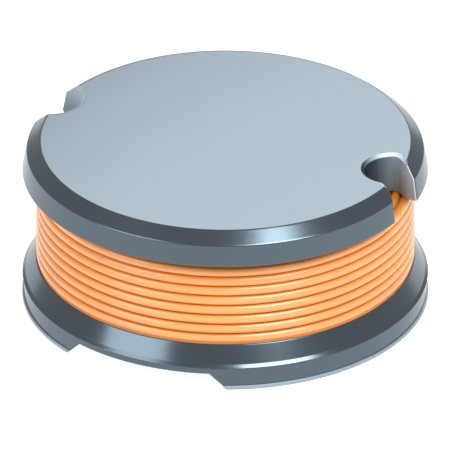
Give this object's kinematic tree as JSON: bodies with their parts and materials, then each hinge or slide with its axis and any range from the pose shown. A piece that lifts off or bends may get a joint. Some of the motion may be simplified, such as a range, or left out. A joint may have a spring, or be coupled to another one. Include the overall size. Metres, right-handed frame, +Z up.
{
  "type": "smd power inductor",
  "caption": "Open drum-core surface-mount power inductor: bevelled ferrite drum, enamelled copper winding between its flanges and solder terminals underneath.",
  "frame": {"origin": "centre of the underside, in the plane of the terminals' solder faces", "axes": "+Z up along the core's axis towards the flat top face; the two terminals lie on -X and +X, and the channel between the feet runs along Y, with the lead ends on the +Y side"},
  "size_m": [0.01, 0.01, 0.0043],
  "materials": {
    "ferrite": "sintered ferrite, ground to a low gloss, dark blue-grey",
    "enamelled_wire": "clear-coated enamel over copper, glossy orange",
    "terminal_metal": "tin plated, satin",
    "solder": "reflowed solder, bright"
  },
  "bodies": {
    "root": {"drum_core": "ferrite", "winding": "enamelled_wire", "terminal_left": "terminal_metal", "terminal_right": "terminal_metal", "solder_left": "solder", "solder_right": "solder"}
  },
  "joints": []
}
